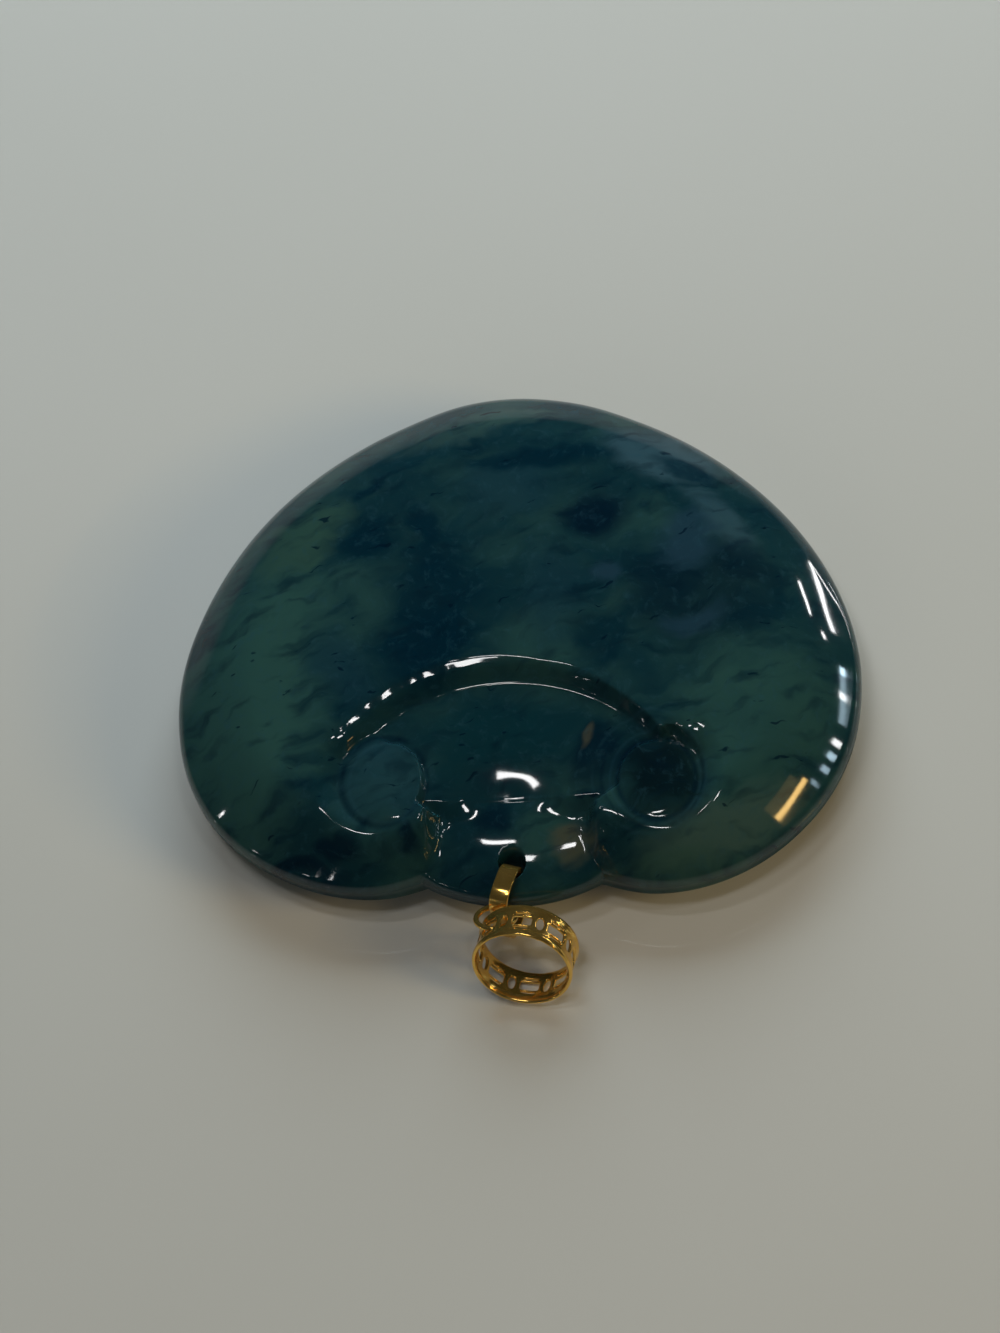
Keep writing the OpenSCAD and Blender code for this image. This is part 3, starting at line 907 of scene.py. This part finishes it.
def bail_ring(material):
    tree = Maker("pierced_ring", {"Repeats": BAIL_REPEATS, "Roundings": BAIL_ROUNDINGS},
                 takes_mesh=True)
    stands = tree.add("GeometryNodeMeshLine", {}, {"Count": tree.size("Repeats"),
                                                   "Offset": (0.0, 0.0, 0.0)})
    index = tree.add("GeometryNodeInputIndex")
    turn = tree.add("ShaderNodeCombineXYZ", {}, {"Z": index * (2 * math.pi) / tree.size("Repeats")})
    turn = tree.add("FunctionNodeEulerToRotation", {}, {"Euler": turn})
    ring = tree.add("GeometryNodeInstanceOnPoints", {},
                    {"Points": stands, "Instance": tree.size("Geometry"), "Rotation": turn})
    ring = tree.add("GeometryNodeRealizeInstances", {}, {"Geometry": ring})
    ring = tree.add("GeometryNodeMergeByDistance", {}, {"Geometry": ring, "Distance": BAIL_WELD})
    ring = tree.add("GeometryNodeSubdivisionSurface", {},
                    {"Mesh": ring, "Level": tree.size("Roundings")})
    tree.finish(hand_finish(tree, ring, *UNEVEN["bail_ring"]))
    spin = Matrix.Rotation(math.radians(BAIL_SPIN), 4, "Z")
    ring = tree.run("pierced_bail_ring", material, BAIL_PLACE @ spin, cage_mesh())
    keep_piece(ring, ["bail_ring"])


# Jade

# Colours of the stone, and of the painted light and shade laid over it, linear.
JADE = {
    "sage": (0.026, 0.081, 0.069), "teal": (0.004, 0.027, 0.037), "ink": (0.000, 0.008, 0.020),
    "dark": (0.000, 0.015, 0.028), "mist": (0.020, 0.070, 0.096), "lilac_reflection": (0.014, 0.044, 0.070),
    "pale": (0.042, 0.088, 0.077), "haze": (0.036, 0.084, 0.105), "moss": (0.029, 0.076, 0.057),
    "grey": (0.008, 0.037, 0.052), "recess": (0.003, 0.029, 0.038), "right_volute_shade": (0.001, 0.007, 0.011),
    "button": (0.015, 0.057, 0.071), "brown": (0.070, 0.072, 0.046),
}
# Clouds in the stone, and patches of painted light and shade, seen from above and laid over each
# other in this order: middle in X and Y, half length, half width, turn in degrees, colour, strength.
CLOUDS = [
    (-15.2, -4.7, 4.0, 9.1, -8, "sage", 0.90),
    (-12.7, 6.0, 2.9, 1.8, 40, "moss", 0.90),
    # Painted highlight: a pale sheen along the top edge near the tip.
    (-0.1, 14.3, 2.9, 0.9, 5, "pale", 0.70),
    (-4.0, 12.8, 3.2, 0.9, 15, "pale", 0.50),
    (8.4, 10.9, 3.2, 1.8, -25, "haze", 0.75),
    (12.0, 6.0, 2.7, 1.1, -50, "haze", 0.60),
    (-0.6, 8.8, 2.9, 2.1, 10, "grey", 0.80),
    (2.3, 1.1, 1.9, 3.3, 0, "grey", 0.60),
    (-10.1, -3.3, 1.6, 2.7, 20, "grey", 0.70),
    (13.9, -7.1, 5.3, 3.6, 30, "sage", 0.65),
    (12.0, -13.4, 4.2, 1.5, 25, "pale", 1.00),
    (9.3, -15.8, 4.0, 1.2, 5, "moss", 0.50),
    # Painted light: the left volute's button laid lighter, as light falls on it.
    (-7.4, -10.3, 2.4, 2.6, 0, "button", 0.70),
    (2.5, -13.4, 2.4, 1.6, 0, "sage", 0.60),
    (-4.6, 1.1, 2.9, 5.2, 15, "dark", 0.85),
    (1.0, 10.5, 4.5, 0.7, 4, "dark", 0.85),
    (-8.8, 5.5, 1.6, 1.4, 30, "dark", 0.80),
    (-5.3, 6.1, 0.9, 1.4, 20, "dark", 0.80),
    (-4.8, -1.6, 2.9, 2.4, 0, "dark", 0.75),
    (-8.7, 9.1, 1.2, 0.5, 35, "dark", 0.80),
    (10.0, 10.0, 1.6, 0.6, -25, "dark", 0.80),
    (10.7, 1.2, 4.5, 3.3, 0, "ink", 0.70),
    (13.9, 3.1, 2.4, 1.2, -20, "ink", 0.60),
    (5.5, -2.0, 1.9, 1.8, 0, "dark", 0.80),
    # Painted reflection: lilac-grey patches standing in for the room mirrored in the polish.
    (9.9, 4.6, 1.6, 1.8, 0, "lilac_reflection", 0.80),
    (5.4, 2.5, 0.9, 0.9, 0, "lilac_reflection", 0.80),
    (10.8, -0.6, 1.9, 0.9, 15, "lilac_reflection", 0.70),
    (4.3, 6.6, 1.9, 1.2, 10, "ink", 0.90),
    # Painted shade: the sunk recess laid over in plain dark teal.
    (-0.9, -7.5, 4.5, 2.7, 0, "recess", 0.80),
    (-1.1, -12.3, 1.2, 0.7, 0, "ink", 0.70),
    # Painted shade: the right volute's spiral laid over nearly black.
    (8.7, -10.6, 2.4, 2.6, 0, "right_volute_shade", 0.90),
    (4.9, -8.9, 1.3, 2.1, -20, "ink", 0.70),
    (-9.8, -13.9, 0.9, 0.7, 20, "ink", 0.80),
    (-6.1, -13.9, 0.7, 0.5, 0, "ink", 0.80),
    (-12.1, -14.9, 1.9, 0.5, -8, "ink", 0.80),
    (-17.5, -9.4, 0.8, 1.8, 15, "ink", 0.10),
    # Two small warm brown patches, by the lobe and by the right of the recess.
    (3.6, -13.9, 1.0, 1.1, 0, "brown", 0.80),
    (4.5, -7.9, 0.4, 0.6, 0, "brown", 0.60),
]
# Where a cloud fades out and is full, where 1 is its oval's edge, and how ragged that edge is.
CLOUD_EDGE = (1.45, 0.5)
CLOUD_RAGGED = 0.9
# Half the depth of every oval, so that a cloud goes right through the stone.
OVAL_DEPTH = 40.0
# A wide drift and a small curl move all the clouds: scale, detail, reach.
CLOUD_DRIFTS = [(0.25, 3.0, 3.2), (0.8, 3.0, 0.7)]
# Grain of the stone: middle in X and Y, length and width that it is drawn out to, turn in degrees,
# and scale, detail and roughness of its noise. The mottle isn't drawn out.
GRAINS = {
    "drifts": (0, 0, 1.3, 0.9, 12, 0.16, 4.0, 0.55),
    "ragged": (0, 0, 2.2, 0.7, 20, 0.8, 2.5, 0.5),
    "flecks": (3, 1, 1.6, 0.5, 15, 1.1, 2.0, 0.5),
}
MOTTLE = (1.6, 5.0, 0.65)
# Sage drifts in the teal ground: where they begin and are full, strength.
SAGE_DRIFTS = (0.4, 0.68, 0.6)
# Veils over the clouds, in this order: grain, where it begins and is full, colour, strength.
VEILS = [
    ("mottle", 0.5, 0.75, "mist", 0.35),
    ("ragged", 0.0, 0.25, "ink", 0.5),
    ("flecks", 0.68, 0.74, "ink", 0.8),
]
# Painted shade along the volutes' grooves and painted highlights along their lips, as fine rings
# darker or paler than the stone: middle in X and Y, half length, half width, line's share of the
# radius, colour, strength. In places the ragged grain breaks them up.
GROOVE_SHADE_AND_LIP_HIGHLIGHT_RINGS = [
    (-7.35, -10.2, 2.5, 2.9, 0.12, "ink", 0.55), (-7.2, -10.35, 2.2, 2.55, 0.09, "mist", 0.25),
    (8.45, -10.6, 2.3, 2.65, 0.12, "ink", 0.6), (8.2, -10.4, 3.0, 3.4, 0.07, "ink", 0.4),
    (8.35, -10.5, 2.65, 3.05, 0.06, "mist", 0.25), (8.0, -10.3, 3.35, 3.8, 0.05, "mist", 0.2),
]
RINGS_BROKEN_UP = (-0.25, 0.05)
# The front is polished, and the back is only ground: roughness of the polish, what the ground back
# adds to it, and the heights between which it sets in.
POLISH = 0.055
GROUND = 0.8
GROUND_BELOW = (4.0, 3.0)


def grain(shader, point, name):
    x, y, long, wide, turn, scale, detail, roughness = GRAINS[name]
    drawn_out = shader.in_oval(point, x, y, long, wide, turn)
    return shader.noise(drawn_out, scale, detail, roughness)


def drifted(shader, point):
    """The point moved by soft random shifts, so that what is drawn there has wandering edges."""
    for scale, detail, reach in CLOUD_DRIFTS:
        shift = shader.drift(point, scale, detail, reach)
        point = shader.add("ShaderNodeVectorMath", {"operation": "ADD"}, {0: point, 1: shift})
    return point


def clouded(shader, colour, point, ragged):
    """The colour with all the clouds and painted patches laid over it."""
    for x, y, long, wide, turn, name, strength in CLOUDS:
        away = shader.out_of_oval(point, x, y, long, wide, turn)
        share = shader.rise(away + ragged * CLOUD_RAGGED, *CLOUD_EDGE) * strength
        colour = shader.mix(share, colour, JADE[name])
    return colour


def with_painted_groove_rings(shader, colour, point, ragged):
    """The colour with the painted groove shade and lip highlights laid over it."""
    for x, y, long, wide, line, name, strength in GROOVE_SHADE_AND_LIP_HIGHLIGHT_RINGS:
        off = abs(shader.out_of_oval(point, x, y, long, wide, 0) - 1.0)
        share = shader.rise(off, line, 0.0) * shader.rise(ragged, *RINGS_BROKEN_UP) * strength
        colour = shader.mix(share, colour, JADE[name])
    return colour


def jade_colour(shader, carved):
    """Clouds of teal, sage and ink, painted light and shade, painted groove rings, and sparse flecks.
    """
    point = drifted(shader, carved)
    ragged = grain(shader, point, "ragged") - NOISE_MIDDLE
    low, high, strength = SAGE_DRIFTS
    share = shader.rise(grain(shader, point, "drifts"), low, high) * strength
    colour = shader.mix(share, JADE["teal"], JADE["sage"])
    colour = clouded(shader, colour, point, ragged)
    # Painted shade in the volutes' grooves and painted highlights on their lips.
    colour = with_painted_groove_rings(shader, colour, carved, ragged)
    grains = {"mottle": shader.noise(point, *MOTTLE), "ragged": ragged,
              "flecks": grain(shader, point, "flecks")}
    for name, low, high, veil, strength in VEILS:
        colour = shader.mix(shader.rise(grains[name], low, high) * strength, colour, JADE[veil])
    return colour


def jade():
    """Dark translucent jade with a high polish."""
    shader = Shader("jade")
    carved = shader.millimetres()
    height = shader.add("ShaderNodeSeparateXYZ", {}, {"Vector": carved}, output="Z")
    return shader.finish({
        "Base Color": jade_colour(shader, carved),
        "Roughness": POLISH + shader.rise(height, *GROUND_BELOW) * GROUND,
        "IOR": 1.5,
        "Subsurface Weight": 0.4,
        "Subsurface Radius": (0.6, 1.0, 0.9),
        "Subsurface Scale": 0.0006,
    })


# Gold and table

GOLD_DEEP = (0.80, 0.46, 0.08)
GOLD_BRIGHT = (1.0, 0.66, 0.19)
# Roughness of the gold, and how much the rubbing adds at most.
GOLD_POLISH = 0.08
GOLD_RUBBED = 0.16
TABLE_DARK = (0.56, 0.55, 0.5)
TABLE_PALE = (0.6, 0.59, 0.55)


def gold():
    """Polished yellow gold with faint rubbing marks."""
    shader = Shader("gold")
    rub = shader.noise(shader.millimetres(), scale=3.0, detail=4.0, roughness=0.6)
    return shader.finish({
        "Base Color": shader.mix(rub, GOLD_DEEP, GOLD_BRIGHT),
        "Metallic": 0.93,
        "Roughness": GOLD_POLISH + rub * GOLD_RUBBED,
    })


def table_top():
    """A pale glossy top, faintly cloudy."""
    shader = Shader("table_top")
    cloud = shader.noise(shader.millimetres(), scale=0.02, detail=2.0, roughness=0.5)
    return shader.finish({
        "Base Color": shader.mix(cloud, TABLE_DARK, TABLE_PALE),
        "Roughness": 0.05,
        "IOR": 1.45,
    })


# Stage: the floor in millimetres.

FLOOR_R = 1500.0
FLOOR_T = 10.0
FLOOR_SIDES = 96


def floor():
    mesh = lathe("floor", [(FLOOR_R, -FLOOR_T), (FLOOR_R, 0)], FLOOR_SIDES)
    mesh.transform(Matrix.Scale(MM, 4))
    made = new_object("floor", mesh)
    made.data.materials.append(table_top())


# Light. Distances and widths are in metres here, and powers in watts.

# Large lights that the polished stone doesn't mirror: name, direction, distance, width, power,
# colour.
SOFT_LIGHTS = [
    ("soft_overhead", (0.0, 0.8, 0.6), 0.22, 0.2, 0.38, (0.83, 1.0, 1.12)),
    ("soft_right", (0.76, -0.28, 0.5), 0.5, 0.16, 0.5, (1.0, 0.74, 0.34)),
    ("soft_front", (-0.3, -0.8, 0.5), 0.5, 0.3, 0.17, (1.0, 1.0, 0.9)),
]
# Small lamps of the room: name, direction, width and height in degrees, brightness, colour, and
# the direction in which the width runs.
WHITE = (1.0, 1.0, 1.0)
WARM = (1.0, 0.62, 0.2)
BLUE = (0.62, 0.85, 1.0)
LAMP_DISTANCE = 0.6
LAMPS = [
    ("over", (-0.17, -0.05, 0.98), 10, 2.4, 26, WHITE, (1, 0, 0)),
    ("ridge", (-0.05, -0.27, 0.96), 9, 4.5, 22, WHITE, (1, -0.25, 0)),
    ("beads", (0.2, -0.17, 0.965), 4.5, 3.2, 24, WHITE, (1, 0, 0)),
    ("front_a", (-0.61, -0.735, 0.30), 1.8, 0.4, 30, WHITE, (1, -0.6, 0.2)),
    ("front_b", (-0.55, -0.766, 0.33), 1.0, 0.4, 30, WHITE, (1, -0.6, 0.2)),
    ("front_c", (-0.46, -0.825, 0.33), 1.6, 0.4, 30, WHITE, (1, -0.6, 0.2)),
    ("left_high", (-0.96, -0.146, 0.24), 1.2, 0.8, 30, WHITE, (0, 1, 0)),
    ("left_low", (-0.84, -0.486, 0.246), 2, 1, 24, WHITE, (1, -1, 0)),
    ("window_near", (0.686, 0.704, 0.184), 7.5, 1.2, 26, WHITE, (1, -1.18, 0.68)),
    ("window_far", (0.7, 0.712, 0.05), 14, 1.0, 26, WHITE, (1, -1, 0.5)),
    ("window_dot", (0.779, 0.602, 0.174), 1.5, 1.2, 26, WHITE, (1, -1, 0)),
    ("frame", (0.899, 0.372, 0.222), 15.5, 1.0, 8, BLUE, (0.3, -1, 0.45)),
    ("pane_a", (0.862, 0.475, 0.172), 2.5, 0.9, 26, BLUE, (0.26, -1, 0.44)),
    ("pane_b", (0.9, 0.372, 0.224), 1.5, 1.1, 26, WHITE, (0.26, -1, 0.44)),
    ("pane_c", (0.94, 0.129, 0.316), 2.6, 1.3, 26, WHITE, (0, -1, 0.5)),
    ("pane_d", (0.938, 0.04, 0.345), 2.6, 1.3, 16, BLUE, (-0.1, -1, 0.5)),
    ("pane_e", (0.928, -0.048, 0.369), 2.4, 1.2, 12, BLUE, (-0.1, -1, 0.3)),
    ("pane_f", (0.904, -0.155, 0.398), 2, 1.2, 8, BLUE, (-0.2, -1, 0)),
    ("glow", (0.836, -0.308, 0.452), 18, 1.4, 24, WARM, (-0.37, -0.93, 0.08)),
    ("glow_wide", (0.8, -0.31, 0.505), 16, 4, 0.9, WARM, (-0.37, -0.93, 0.05)),
]
SKY_COLOUR = (0.75, 0.9, 1.0)
SKY_STRENGTH = 0.02


def pose(right, up, back, place):
    """The matrix of a light or camera with these axes, at a place."""
    made = Matrix((right, up, back)).transposed().to_4x4()
    made.translation = place
    return made


def area_light(name, towards, distance, size, power, colour, along=(1, 0, 0)):
    """A flat light that faces the pendant from a direction, its width along another."""
    data = bpy.data.lights.new(name, "AREA")
    data.shape = "RECTANGLE"
    data.size, data.size_y = size
    data.energy = power
    data.color = colour
    made = new_object(name, data)
    away = Vector(towards).normalized()
    level = Vector(along)
    level = (level - away * level.dot(away)).normalized()
    made.matrix_world = pose(level, away.cross(level), away, away * distance)
    made.visible_camera = False
    return made


def soft_light(name, towards, distance, width, power, colour):
    area_light(name, towards, distance, (width, width), power, colour).visible_glossy = False


def lamp(name, towards, wide, tall, brightness, colour, along):
    size = [2 * LAMP_DISTANCE * math.tan(math.radians(angle) / 2) for angle in (wide, tall)]
    power = brightness * math.pi * size[0] * size[1]
    area_light(name, towards, LAMP_DISTANCE, size, power, colour, along)


def sky():
    """Faint even light from all round."""
    world = bpy.data.worlds.new("room")
    bpy.context.scene.world = world
    world.use_nodes = True
    nodes = Tree(world.node_tree)
    nodes.tree.nodes.clear()
    light = nodes.add("ShaderNodeBackground", {},
                      {"Color": opaque(SKY_COLOUR), "Strength": SKY_STRENGTH})
    nodes.add("ShaderNodeOutputWorld", {}, {"Surface": light})


def lights():
    sky()
    for row in SOFT_LIGHTS:
        soft_light(*row)
    for row in LAMPS:
        lamp(*row)


# The camera looks down from a little to the right, turned about its own axis, from half a metre
# away. It aims at a point in millimetres.
VIEW_AZIMUTH = 12.5
VIEW_RISE = 60.0
VIEW_ROLL = 13.0
VIEW_AT = (-1.11, -1.31, 3.9)
VIEW_DISTANCE = 0.5
# The photograph's height in pixels, and what a pixel of it spans where the camera aims.
PHOTO_H = 1333
PIXEL = 0.0584
VIEW_SPAN = PHOTO_H * PIXEL * MM
SENSOR_H = 36
NEAREST = 0.01


def camera():
    data = bpy.data.cameras.new("camera")
    data.sensor_fit = "VERTICAL"
    data.sensor_height = SENSOR_H
    data.lens = SENSOR_H * VIEW_DISTANCE / VIEW_SPAN
    data.clip_start = NEAREST
    made = new_object("camera", data)
    azimuth, rise, roll = (math.radians(a) for a in (VIEW_AZIMUTH, VIEW_RISE, VIEW_ROLL))
    back = Vector((math.cos(rise) * math.sin(azimuth), -math.cos(rise) * math.cos(azimuth),
                   math.sin(rise)))
    level = Vector((math.cos(azimuth), math.sin(azimuth), 0))
    above = back.cross(level)
    right = level * math.cos(roll) - above * math.sin(roll)
    place = Vector(VIEW_AT) * MM + back * VIEW_DISTANCE
    made.matrix_world = pose(right, back.cross(right), back, place)
    bpy.context.scene.camera = made


camera()
floor()
lights()
carved_head(jade())
gold_finish = gold()
strip_link(gold_finish)
jump_ring(gold_finish)
bail_ring(gold_finish)

scene = bpy.context.scene
scene.view_settings.view_transform = "Standard"
scene.cycles.use_denoising = True
